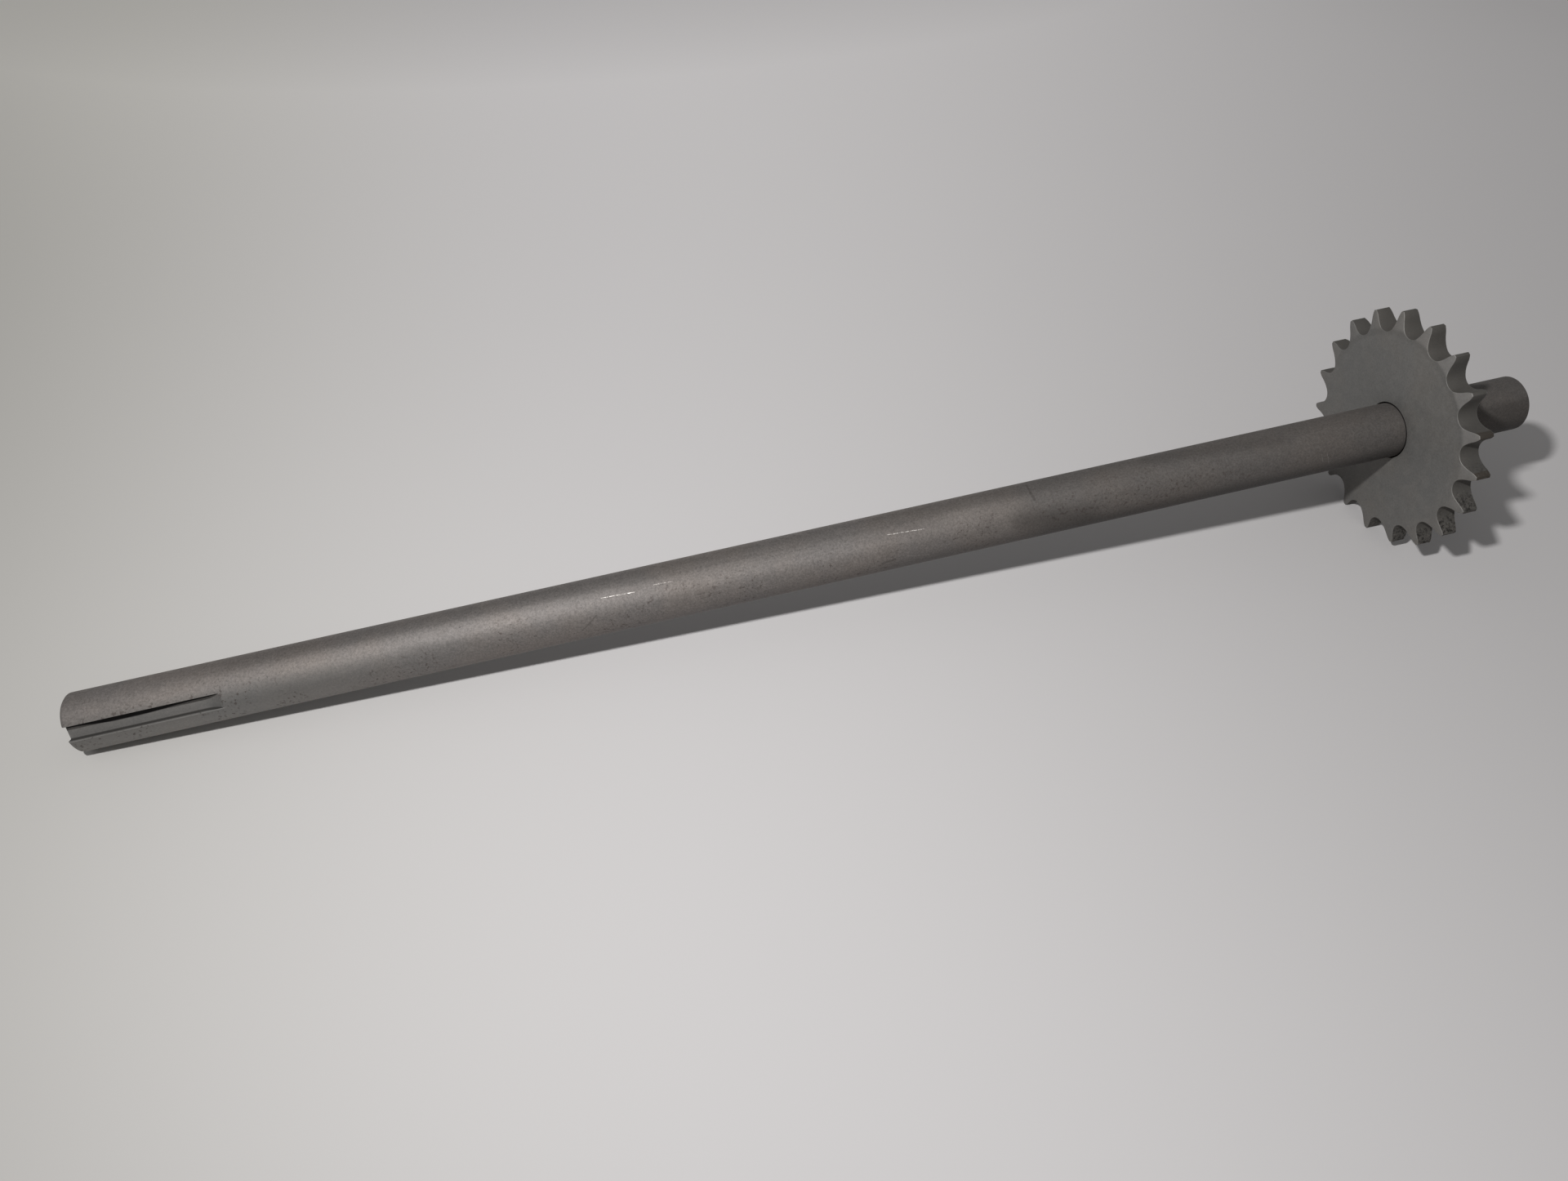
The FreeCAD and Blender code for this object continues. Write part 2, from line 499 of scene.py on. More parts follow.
def bar_stations(bar, sprocket):
    """Places along the bar, with the bar's radius and the keyway floor's height there.

    The radius grows by the chamfer at each end, and a bell curve rounds both of the
    chamfer's edges. The floor is level for the keyway's length, and then rises on the
    wheel cutter's circle until it leaves the bar.
    """
    length = bar.keyed_length + sprocket.thickness + bar.stub_length
    chamfer = bar.chamfer
    ends = np.array([0, EDGE_SHARE, 1 - EDGE_SHARE, 1, 1 + EDGE_SHARE]) * chamfer
    keyed = np.linspace(chamfer * 2, bar.key_length - MILLIMETRE, KEYED_RINGS)
    run_out = bar.key_length + np.linspace(0, RUN_OUT, RUN_OUT_RINGS)
    plain_start = bar.key_length + 10 * MILLIMETRE
    plain = np.linspace(plain_start, length - chamfer * 2, PLAIN_RINGS)
    x = np.concatenate([ends, keyed, run_out, plain, length - ends[::-1]])

    radius = bar.diameter / 2
    soft = chamfer * EDGE_SHARE
    from_end = np.minimum(x, length - x)
    slope = np.minimum(from_end, chamfer) - chamfer
    worn = np.exp(-((from_end / soft) ** 2))
    worn = worn + np.exp(-(((from_end - chamfer) / soft) ** 2))
    ring_radius = radius + slope - EDGE_WEAR * soft * worn

    cutter = bar.cutter_diameter / 2
    beyond = np.clip(x - bar.key_length, 0, cutter)
    level = keyway_heights(bar)[1]
    floor = level + cutter - np.sqrt(cutter**2 - beyond**2)
    past_run_out = x > bar.key_length + RUN_OUT
    return x, ring_radius, np.where(past_run_out, radius * 1.1, floor)


def make_bar_mesh(bar, sprocket):
    """A round bar with chamfered ends and a keyway.

    Each ring is a circle of the bar's radius there, cut by the keyway. Across the
    keyway the height is the lower of the cutter's floor and the circle. The side walls
    join the floor to the circle, with a small round at their foot and at their lip.
    """
    x, radius, floor = (values[:, None] for values in bar_stations(bar, sprocket))
    half = bar.key_width / 2
    lip = np.sqrt(radius**2 - half**2)
    wall = np.clip(lip - floor, 0, None)
    foot_round = np.minimum(KEYWAY_FOOT_ROUND, wall / 3)
    lip_round = np.minimum(KEYWAY_LIP_ROUND, wall / 3)

    # Round part, from one side of the keyway to the other
    start = np.arcsin(half / radius) + lip_round / radius
    turn = np.linspace(0, 1, BAR_AROUND)[None, :]
    angle = start + turn * (2 * math.pi - 2 * start)
    arc = np.stack([radius * np.sin(angle), radius * np.cos(angle)], axis=-1)

    # One wall, from the circle down to the floor, as sideways place and height
    quarter = np.linspace(0, math.pi / 2, ROUND_POINTS)[None, 1:]
    rounded_lip = np.stack(
        [
            half + lip_round * (1 - np.sin(quarter)),
            lip - lip_round * (1 - np.cos(quarter)),
        ],
        axis=-1,
    )
    foot_start = np.stack([np.full_like(radius, half), floor + foot_round], axis=-1)
    rounded_foot = np.stack(
        [
            half - foot_round * (1 - np.cos(quarter)),
            floor + foot_round * (1 - np.sin(quarter)),
        ],
        axis=-1,
    )
    near_wall = np.concatenate([rounded_lip, foot_start, rounded_foot[:, :-1]], axis=1)
    circle = np.sqrt(np.clip(radius**2 - near_wall[:, :, 0] ** 2, 0, None))
    near_wall[:, :, 1] = np.minimum(near_wall[:, :, 1], circle)
    far_wall = near_wall[:, ::-1] * [-1.0, 1.0]

    # Floor, never above the circle
    across = np.linspace(1, -1, FLOOR_ACROSS)[None, :] * (half - foot_round)
    height = np.minimum(floor, np.sqrt(radius**2 - across**2))
    bottom = np.stack([across, height], axis=-1)

    # Turn the keyway from straight up to its own angle
    loop = np.concatenate([near_wall, bottom, far_wall, arc[:, ::-1]], axis=1)
    sideways, up = loop[:, :, 0], loop[:, :, 1]
    cosine, sine = math.cos(bar.key_angle), math.sin(bar.key_angle)
    along = np.broadcast_to(x, sideways.shape)
    level = sideways * cosine - up * sine
    rise = sideways * sine + up * cosine
    return tube_mesh("bar", np.stack([along, level, rise], axis=-1))


# The toothed plate


def tip_radius_of(sprocket):
    """Radius to the tooth tips: half the pitch times 0.6 plus the half angle's cotangent."""
    half_angle = math.pi / sprocket.tooth_count
    return sprocket.chain_pitch * (0.6 + 1 / math.tan(half_angle)) / 2


def bevel_start_of(sprocket):
    """Radius at which the bevel of each face starts."""
    return tip_radius_of(sprocket) - sprocket.bevel_reach


def shifted(point, distance, bearing):
    """A point moved by a distance on a bearing, counted from sideways towards up."""
    return point + distance * np.array([math.cos(bearing), math.sin(bearing)])


def bearing_of(centre, point):
    """Bearing from a centre to a point, from zero to a full turn."""
    return math.atan2(point[1] - centre[1], point[0] - centre[0]) % (2 * math.pi)


def arc_points(centre, radius, start, end, count):
    """Points on a circle from one bearing to another, without the last one."""
    bearing = start + (end - start) * np.arange(count) / count
    return centre + radius * np.stack([np.cos(bearing), np.sin(bearing)], axis=-1)


def half_space(sprocket):
    """Half a tooth space for roller chain, from its bottom to the next tooth's middle.

    The standard form: a seating arc under the roller, a working arc that is tangent to
    it, a short straight line and a topping arc up to the tip circle, then the tip's
    land. The bare numbers are the standard's own. The space is centred on straight up,
    and points are sideways and up.
    """
    roller = sprocket.roller_diameter
    count = sprocket.tooth_count
    half_angle = math.pi / count
    pitch_radius = sprocket.chain_pitch / (2 * math.sin(half_angle))
    tip_radius = tip_radius_of(sprocket)
    seat_radius = (1.005 * roller + 0.0000762) / 2
    seat_angle = math.radians(35 + 60 / count)
    work_angle = math.radians(18 - 56 / count)

    roller_centre = np.array([0.0, pitch_radius])
    work_centre = shifted(roller_centre, 0.8 * roller, math.pi - seat_angle)
    work_radius = 0.8 * roller + seat_radius
    top_centre = shifted(roller_centre, 1.4 * roller, -half_angle)
    line_angle = work_angle - seat_angle
    work_end = shifted(work_centre, work_radius, line_angle)
    along = np.array([-math.sin(line_angle), math.cos(line_angle)])
    line_end = work_end + along * ((top_centre - work_end) @ along)
    top_radius = np.linalg.norm(line_end - top_centre)
    distance = np.linalg.norm(top_centre)
    cosine = (distance**2 + tip_radius**2 - top_radius**2) / (2 * distance * tip_radius)
    tip_bearing = math.atan2(top_centre[1], top_centre[0]) + math.acos(cosine)
    tip = tip_radius * np.array([math.cos(tip_bearing), math.sin(tip_bearing)])
    top_start = bearing_of(top_centre, line_end)
    top_end = bearing_of(top_centre, tip)
    land = np.linspace(tip_bearing, math.pi / 2 - half_angle, LAND_POINTS)
    return np.concatenate(
        [
            arc_points(roller_centre, seat_radius, -math.pi / 2, -seat_angle, SEAT_POINTS),
            arc_points(work_centre, work_radius, -seat_angle, line_angle, WORK_POINTS),
            work_end + (line_end - work_end) * np.array([[0.0], [0.5]]),
            arc_points(top_centre, top_radius, top_start, top_end, TOP_POINTS),
            tip_radius * np.stack([np.cos(land), np.sin(land)], axis=-1),
        ]
    )


def plate_outline(sprocket):
    """Closed outline of the toothed plate, one space exactly straight down.

    Half a space and its mirror image make one tooth's turn, which is repeated round.
    """
    half = half_space(sprocket)
    whole = np.concatenate([half[:0:-1] * [-1.0, 1.0], half[:-1]])
    count = sprocket.tooth_count
    turns = math.pi + 2 * math.pi * np.arange(count) / count
    cosine, sine = np.cos(turns)[:, None], np.sin(turns)[:, None]
    across = whole[None, :, 0] * cosine + whole[None, :, 1] * sine
    up = whole[None, :, 1] * cosine - whole[None, :, 0] * sine
    return np.stack([across.ravel(), up.ravel()], axis=-1)


def inward(outline, reach):
    """The outline moved inwards, square to the line through each point's neighbours."""
    along = np.roll(outline, -1, axis=0) - np.roll(outline, 1, axis=0)
    along /= np.linalg.norm(along, axis=1, keepdims=True)
    normal = np.stack([-along[:, 1], along[:, 0]], axis=-1)
    outside = (normal * outline).sum(axis=1, keepdims=True) > 0
    return outline - np.where(outside, normal, -normal) * reach


def face_rings(sprocket, bar):
    """Rings from the bore out over a face to the middle of its broken edge.

    Each is a ring of points and how far each point lies under the flat face. A quarter
    circle leads from the bore to the face. Beyond the bevel's start the face drops in
    proportion to the radius, and a quarter circle leads from there to the flanks.
    """
    outline = plate_outline(sprocket)
    bore = bar.diameter / 2 + sprocket.bore_clearance
    bevel_start = bevel_start_of(sprocket)
    soft = sprocket.edge_break
    rays = outline / np.linalg.norm(outline, axis=1, keepdims=True)
    level = np.zeros(len(rays))

    def bevel_drop(points):
        reach = np.linalg.norm(points, axis=1) - bevel_start
        return sprocket.bevel_depth * np.clip(reach / sprocket.bevel_reach, 0, None)

    rings = []
    for angle in np.linspace(math.pi / 2, 0, EDGE_RINGS):
        lip = bore + soft * (1 - math.sin(angle))
        rings.append((rays * lip, level + soft * (1 - math.cos(angle))))
    edge = inward(outline, soft)
    edge_reach = np.linalg.norm(edge, axis=1, keepdims=True)
    crease = np.minimum(bevel_start, edge_reach - 2 * CREASE_GAP)
    for share in FACE_SHARES:
        radius = bore + soft + share * (crease - bore - soft)
        rings.append((rays * radius, level))
    edge_rays = edge / edge_reach
    rings.append((edge_rays * crease, level))
    past_crease = edge_rays * (crease + CREASE_GAP)
    rings.append((past_crease, bevel_drop(past_crease)))
    for angle in np.linspace(0, math.pi / 2, EDGE_RINGS):
        points = inward(outline, soft * (1 - math.sin(angle)))
        rings.append((points, bevel_drop(points) + soft * (1 - math.cos(angle))))
    return rings


def make_sprocket_mesh(sprocket, bar):
    """The toothed plate, bevelled on both faces, bored, with softly broken edges.

    Rings run from the bore out over the front face, across the teeth's flanks and
    back over the rear face to the bore.
    """
    rings = face_rings(sprocket, bar)
    front = bar.keyed_length
    back = front + sprocket.thickness
    front_half = [np.column_stack([front + drop, points]) for points, drop in rings]
    back_half = [np.column_stack([back - drop, points]) for points, drop in rings]
    middle = (front_half[-1] + back_half[-1]) / 2
    whole = np.array([*front_half, middle, *back_half[::-1]])
    return tube_mesh("sprocket", whole, join_ends=True)


# The weld


def make_weld_mesh(weld, bar, sprocket):
    """A fillet bead with ripples, from the bar to the back of the plate.

    The face is the straight line between the two toes plus the crown, a parabola
    square to that line. Round the bar the legs wander by two slow sine waves. Each
    ripple is half a sine wave to the power 0.7, bowed, and fades towards the toes.
    """
    radius = bar.diameter / 2
    back = bar.keyed_length + sprocket.thickness
    turn = np.linspace(0, 2 * math.pi, WELD_AROUND + 1)[:-1, None]
    share = np.linspace(0, 1, WELD_ACROSS)[None, :]
    wander = 0.04 * np.sin(3 * turn + 0.6) + 0.03 * np.sin(7 * turn + 2.1)
    leg = weld.leg * (WELD_FULLNESS + wander)
    dome = 4 * share * (1 - share)
    phase = turn * weld.ripples / (2 * math.pi) + RIPPLE_BOW * (share - 0.5) ** 2
    ripple = np.sin(math.pi * (phase - np.floor(phase))) ** 0.7 * dome**0.5
    outwards = (weld.crown * dome + weld.ripple_height * ripple) / math.sqrt(2)
    along = leg * (1 - share) + outwards
    away = leg * share + outwards
    face = np.stack([back + along, radius + away], axis=-1)

    # Underside, a little inside the bar and just clear of the plate
    inner = np.full_like(turn, radius - WELD_SINK)
    bar_corner = np.stack([back + leg, inner], axis=-1)
    plate_corner = np.stack([np.full_like(turn, back + WELD_SEAT), inner], axis=-1)
    profile = np.concatenate([bar_corner, face, plate_corner], axis=1)
    x, distance = profile[:, :, 0], profile[:, :, 1]
    rings = np.stack([x, -distance * np.sin(turn), distance * np.cos(turn)], axis=-1)
    return tube_mesh("weld_bead", rings, join_ends=True)


# Materials


class Wire:
    """A node's output that takes part in Python sums, each of which adds a Math node."""

    def __init__(self, finish, socket):
        self.finish = finish
        self.socket = socket

    def sum(self, operation, *terms):
        return self.finish.node(
            "ShaderNodeMath", {"operation": operation}, dict(enumerate(terms))
        )

    def __add__(self, other):
        return self.sum("ADD", self, other)

    __radd__ = __add__

    def __sub__(self, other):
        return self.sum("SUBTRACT", self, other)

    def __rsub__(self, other):
        return self.sum("SUBTRACT", other, self)

    def __mul__(self, other):
        return self.sum("MULTIPLY", self, other)

    __rmul__ = __mul__

    def __truediv__(self, other):
        return self.sum("DIVIDE", self, other)

    def __rtruediv__(self, other):
        return self.sum("DIVIDE", other, self)

    def __pow__(self, other):
        return self.sum("POWER", self, other)

    def __rpow__(self, other):
        return self.sum("POWER", other, self)

    def __abs__(self):
        return self.sum("ABSOLUTE", self)


class Finish:
    """One material under construction. Its patterns follow place on the object."""

    def __init__(self, name):
        self.material = bpy.data.materials.new(name)
        self.material.use_nodes = True
        self.tree = self.material.node_tree
        self.tree.nodes.clear()
        self.place = self.node("ShaderNodeTexCoord", output="Object")

    def node(self, kind, settings=None, inputs=None, output=0):
        """Add a node with its settings and its sockets' values or links."""
        made = self.tree.nodes.new(kind)
        for name, value in (settings or {}).items():
            setattr(made, name, value)
        for key, value in (inputs or {}).items():
            socket = made.inputs[key]
            if isinstance(value, Wire):
                self.tree.links.new(value.socket, socket)
            else:
                socket.default_value = value
        return Wire(self, made.outputs[output]) if made.outputs else None

    def noise(self, scale, detail=2.0, roughness=0.5):
        return self.node(
            "ShaderNodeTexNoise",
            {"noise_dimensions": "3D"},
            {
                "Vector": self.place,
                "Scale": scale,
                "Detail": detail,
                "Roughness": roughness,
            },
        )

    def step(self, value, low, high):
        """0 below low, 1 above high and smooth between them."""
        return self.node(
            "ShaderNodeMapRange",
            {"interpolation_type": "SMOOTHSTEP", "clamp": True},
            {"Value": value, "From Min": low, "From Max": high},
        )

    def between(self, value, start, low, high, end):
        """1 from low to high, 0 before start and after end, and smooth between."""
        return self.step(value, start, low) * (1.0 - self.step(value, high, end))

    def clamp(self, value, low, high):
        return self.node(
            "ShaderNodeClamp", None, {"Value": value, "Min": low, "Max": high}
        )

    def part(self, vector, axis):
        """One part of a vector, X, Y or Z."""
        return self.node("ShaderNodeSeparateXYZ", None, {"Vector": vector}, axis)

    def beside(self, across, up, start, end):
        """Distance from a place on a flat map to a straight line between two points."""
        reach = (end[0] - start[0], end[1] - start[1])
        length = math.hypot(*reach)
        across, up = across - start[0], up - start[1]
        share = (across * reach[0] + up * reach[1]) / length**2
        share = self.clamp(share, 0.0, 1.0)
        across, up = across - share * reach[0], up - share * reach[1]
        return (across * across + up * up) ** 0.5

    def mix(self, share, first, second):
        """Mix two colours."""
        return self.node(
            "ShaderNodeMix",
            {"data_type": "RGBA"},
            {0: share, 6: self.colour(first), 7: self.colour(second)},
            output=2,
        )

    @staticmethod
    def colour(value):
        """A colour as a socket takes it, with its fourth number if it has none."""
        return value if isinstance(value, Wire) else (*value, 1)

    def scale(self, colour, factor):
        """Make a colour lighter or darker by a factor that changes over the surface."""
        return self.node(
            "ShaderNodeVectorMath",
            {"operation": "SCALE"},
            {"Vector": colour, "Scale": factor},
        )

    def surface(self, sockets):
        """Close the material with one Principled shader."""
        shader = self.node("ShaderNodeBsdfPrincipled", None, sockets)
        self.node("ShaderNodeOutputMaterial", None, {"Surface": shader})
        return self.material


def tint(colour, red, green, blue):
    """A colour with each of its channels multiplied by a factor of its own."""
    return colour[0] * red, colour[1] * green, colour[2] * blue


def shade(colour, factor):
    """A colour made lighter or darker."""
    return tint(colour, factor, factor, factor)


class BlastedSteel(Finish):
    """Bare steel with a blasted face: mottled tone, fine grain and a few specks.

    Place is in the bar's own frame in millimetres, so a noise's scale is per
    millimetre. tone, rough and height are what has been laid so far, and a piece's own
    marks change them before close() ends the material.
    """

    def __init__(self, name, settings, speckled):
        """speckled is how strongly the fine grain shows in the colour."""
        super().__init__(name)
        origin, axes = bar_frame()
        tilt = math.atan2(axes[0][2], axes[0][0])
        self.place = self.node(
            "ShaderNodeMapping",
            {"vector_type": "TEXTURE"},
            {
                "Vector": self.place,
                "Location": tuple(origin),
                "Rotation": (0.0, -tilt, 0.0),
                "Scale": (MILLIMETRE, MILLIMETRE, MILLIMETRE),
            },
        )
        self.x, self.y, self.z = (self.part(self.place, axis) for axis in "XYZ")

        clouds = self.noise(0.035, detail=3.0, roughness=0.55)
        blotches = self.noise(0.28, detail=4.0, roughness=0.6)
        mottle = self.noise(1.3, detail=3.0, roughness=0.6)
        grain = self.noise(4.5, roughness=0.7)
        speckle = self.noise(1.1, detail=4.0, roughness=0.85)
        pits = self.step(self.noise(1.05, roughness=0.45), 0.71, 0.80)

        colour = settings.colour
        warm = tint(colour, 1.05, 1.02, 0.99)
        cool = tint(colour, 0.97, 0.98, 0.99)
        self.tone = self.mix(self.step(clouds, 0.36, 0.64), cool, warm)
        self.lay(self.step(blotches, 0.38, 0.68) * 0.35, shade(colour, 1.22))
        self.lay(self.step(mottle, 0.45, 0.75) * 0.28, shade(colour, 0.72))
        self.lay(self.step(grain, 0.50, 0.80) * 0.30, shade(colour, 1.45))
        self.lay(pits * 0.6, shade(colour, 0.40))
        self.lighten(1.0 + (speckle - 0.5) * speckled)
        self.rough = settings.roughness + (blotches - 0.5) * 0.16
        self.rough = self.rough + (grain - 0.5) * 0.18 + pits * 0.15
        self.height = grain * 0.8 + mottle * 0.5 - pits * 0.6

    @cached_property
    def reach(self):
        """Distance from the bar's axis."""
        return (self.y * self.y + self.z * self.z) ** 0.5

    @cached_property
    def angle(self):
        """Angle round the bar in degrees, from straight up towards the front."""
        turn = self.node(
            "ShaderNodeMath", {"operation": "ARCTAN2"}, {0: self.y * -1.0, 1: self.z}
        )
        return turn * math.degrees(1.0)

    def lay(self, share, colour):
        """Lay a share of a colour over the tone."""
        self.tone = self.mix(share, self.tone, colour)

    def lighten(self, factor):
        self.tone = self.scale(self.tone, factor)

    def close(self):
        normal = self.node(
            "ShaderNodeBump",
            None,
            {"Strength": 0.35, "Distance": BUMP_HEIGHT, "Height": self.height},
        )
        return self.surface(
            {
                "Base Color": self.tone,
                "Metallic": STEEL_METALLIC,
                "Roughness": self.rough,
                "Normal": normal,
            }
        )


def plate_faces(bar, sprocket):
    """Places of the plate's front and back face along the bar, in millimetres."""
    front = bar.keyed_length / MILLIMETRE
    return front, front + sprocket.thickness / MILLIMETRE


def shade_bar(steel, bar, sprocket, wavy, skin):
    """Slow changes of tone along the bar and round it.

    Windows along the bar are in millimetres from the keyed end, and wavy is that place
    with a slow wave in it. Windows round it are in degrees. painted_light lightens and
    darkens sides of the bar as light and shade would, and changes only the round skin:
    skin is nothing on the end faces and in the keyway.
    """
    front, back = plate_faces(bar, sprocket)
    dark = steel.step(wavy, 318.0, 336.0) * 0.12
    dark = dark + steel.step(wavy, 362.0, 400.0) * 0.28
    dark = dark + steel.step(steel.x, front + 3.2, back + 0.5) * 0.06
    steel.lay(dark, DARK_STRETCH)

    underside = steel.step(steel.angle, 72.0, 114.0)
    top = steel.between(steel.angle, -32.0, -12.0, 6.0, 20.0)
    upper_side = steel.between(steel.angle, 6.0, 16.0, 32.0, 52.0)
    lower_side = steel.step(steel.angle, 28.0, 70.0)
    # Painted light: a neutral grey laid on the lower side near the keyed end
    steel.lay((1.0 - steel.step(wavy, 60.0, 190.0)) * lower_side * 0.6, PAINTED_LIGHT_GREY)

    # Painted light: lightest at the keyed end
    painted_light = 1.08 - steel.step(wavy, 30.0, 100.0) * 0.08
    # Painted light and shade: the underside turns from light to dark along the bar, and is
    # darker near the plate
    painted_light = painted_light + underside * (1.0 - steel.step(wavy, 40.0, 210.0)) * 0.45
    painted_light = painted_light - underside * steel.step(wavy, 180.0, 380.0) * 0.32
    near_plate = steel.between(wavy, 370.0, 440.0, front - 0.8, front + 3.2)
    painted_light = painted_light - underside * near_plate * 0.18
    # Painted shade: the top and the upper side are a little darker along the middle
    painted_light = painted_light - top * steel.between(wavy, 30.0, 80.0, 350.0, 420.0) * 0.20
    painted_light = painted_light - upper_side * steel.between(wavy, 170.0, 260.0, 330.0, 365.0) * 0.22
    # Painted shade: the stub is darker below its highlight
    stub = steel.step(steel.x, back - 1.5, back + 2.5)
    painted_light = painted_light - stub * steel.step(steel.angle, 34.0, 52.0) * 0.26
    steel.lighten(1.0 + (painted_light - 1.0) * skin)

    # Painted shade: the bar is nearly black inside the plate's bore
    shade_in_bore = steel.between(steel.x, front - 0.1, front + 0.3, back - 0.3, back)
    steel.lay(shade_in_bore * 0.95, BAR_IN_BORE_PAINTED_SHADE)


def mark_keyway(steel, bar):
    """Painted light and shade in the keyway, and a dark line at the foot of its lower wall.

    The place is turned so that one part runs across the keyway and the other rises
    out of its floor. The floor is painted lighter. The painted shadow of the upper lip
    lies along the floor by the upper wall, as wide as a share of that wall's height, so
    it tapers off along the run-out. A painted highlight lies on the lower lip. sunk is 1
    inside the groove only.
    """
    sine, cosine = math.sin(bar.key_angle), math.cos(bar.key_angle)
    across = steel.z * sine + steel.y * cosine
    rise = steel.z * cosine - steel.y * sine
    lip, level = (height / MILLIMETRE for height in keyway_heights(bar))
    half = bar.key_width / 2 / MILLIMETRE
    end = bar.key_length / MILLIMETRE
    cutter = bar.cutter_diameter / 2 / MILLIMETRE
    radius = bar.diameter / 2 / MILLIMETRE
    beyond = steel.clamp(steel.x - end, 0.0, RUN_OUT / MILLIMETRE)
    floor = level + cutter - (cutter**2 - beyond * beyond) ** 0.5
    within = 1.0 - steel.step(steel.x, end + 7.8, end + 9.0)
    within = within * steel.step(rise, level - 1.3, level - 0.3)
    sunk = within * (1.0 - steel.step(steel.reach, radius - 0.45, radius - 0.10))
    # Painted light: the groove's floor and walls are lighter
    steel.lighten(1.0 + sunk * 0.25)

    # Painted shadow of the upper lip on the keyway's floor
    width = 0.58 + steel.between(steel.x, 2.0, 18.0, 26.0, 50.0) * 0.36
    beside = half - across - width * (lip - floor)
    lip_painted_shadow = (1.0 - steel.step(beside, -0.35, 0.15)) * sunk
    lip_painted_shadow = lip_painted_shadow * (1.0 - steel.step(across, half + 0.025, half + 0.275))
    steel.lay(lip_painted_shadow * 0.95, LIP_PAINTED_SHADOW)

    # Darker along the foot of the lower wall
    from_wall = abs(across + half)
    low = 1.0 - steel.step(rise - floor, 1.5, 2.5)
    lower_wall_dark = (1.0 - steel.step(from_wall, 0.12, 0.40)) * low * sunk
    steel.lay(lower_wall_dark * 0.75, LOWER_WALL_DARK)
    # Painted highlight on the lower lip
    from_lip = from_wall + abs(rise - lip)
    steel.lay((1.0 - steel.step(from_lip, 0.20, 0.60)) * within * 0.35, LIP_PAINTED_HIGHLIGHT)


def dot_bar(steel, clouds, wavy, skin):
    """Small brown dots, in clusters on the lower side and thinly on the dark stretch."""
    clusters = steel.step(clouds, 0.44, 0.60) * steel.step(steel.angle, 20.0, 50.0)
    spread = clusters + steel.step(wavy, 365.0, 400.0) * 0.45
    spread = steel.clamp(spread, 0.0, 1.0) * (1.0 - steel.step(steel.x, 440.0, 550.0))
    dots = steel.step(steel.noise(0.75), 0.58, 0.68) * spread * skin
    steel.lay(dots * 0.65, BROWN_DOT)


def scratch_bar(steel, bar):
    """Bright scratches and dark scuffs, as lines on the map of length by arc.

    Noise makes their edges ragged and leaves gaps in the scratches.
    """
    radius = bar.diameter / 2 / MILLIMETRE
    arc = steel.angle * math.radians(radius)
    ragged = (steel.noise(1.6, detail=3.0, roughness=0.7) - 0.5) * 0.8
    gaps = steel.step(steel.noise(0.9, roughness=0.6), 0.36, 0.46)
    for start, end, strength in SCRATCHES:
        apart = steel.beside(steel.x, arc, start, end) + ragged
        share = (1.0 - steel.step(apart, -0.04, 0.22)) * gaps * strength
        steel.lay(share, SCRATCH_COLOUR)
        steel.rough = steel.rough - share * 0.3
        steel.height = steel.height - share
    for start, end, width, strength in SCUFFS:
        apart = steel.beside(steel.x, arc, start, end) + ragged * 2.5
        steel.lay((1.0 - steel.step(apart, 0.0, width)) * strength, SCUFF_COLOUR)


def make_bar_finish(bar, sprocket):
    steel = BlastedSteel("bar_blasted_steel", bar, speckled=1.7)
    radius = bar.diameter / 2 / MILLIMETRE
    clouds = steel.noise(0.05)
    wavy = steel.x + (clouds - 0.5) * 30.0
    skin = steel.step(steel.reach, radius - 0.9, radius - 0.4)
    shade_bar(steel, bar, sprocket, wavy, skin)
    mark_keyway(steel, bar)
    dot_bar(steel, clouds, wavy, skin)
    scratch_bar(steel, bar)
    return steel.close()


def depth_under_face(steel, sprocket, bar):
    """How deep a place lies under the plate's nearer face, bevel included.

    It is nothing on a face or a bevel, and grows across the broken edge to the flank
    or into the bore, which tells these surfaces apart.
    """
    front, back = plate_faces(bar, sprocket)
    bevel_start = bevel_start_of(sprocket) / MILLIMETRE
    bevel_reach = sprocket.bevel_reach / MILLIMETRE
    drop = steel.clamp((steel.reach - bevel_start) / bevel_reach, 0.0, 2.0)
    nearer = steel.node(
        "ShaderNodeMath", {"operation": "MINIMUM"}, {0: steel.x - front, 1: back - steel.x}
    )
    return nearer - drop * (sprocket.bevel_depth / MILLIMETRE)


def shade_teeth(steel, depth, flank, bevel, cloud):
    """Bevels a little paler with painted light on those that face up, darker flanks, and
    edges worn bright in places.
    """
    slant = math.radians(30)
    facing = (steel.z * math.cos(slant) - steel.y * math.sin(slant)) / steel.reach
    facing_light = steel.step(facing, 0.45, 0.95)
    # Bevels a little paler everywhere, and painted light on those that face up
    steel.lay(bevel * (0.06 + facing_light * 0.30) * (0.5 + cloud), PALE_BEVEL_AND_PAINTED_LIGHT)
    steel.lay(flank * 0.67, DARK_FLANK)
    edge = steel.between(depth, 0.03, 0.09, 0.12, 0.24)
    worn = steel.step(steel.noise(0.35), 0.35, 0.6)
    edge = edge * steel.step(steel.reach, *TOOTH_ZONE)
    steel.lay(edge * (0.04 + worn * 0.2), WORN_EDGE)


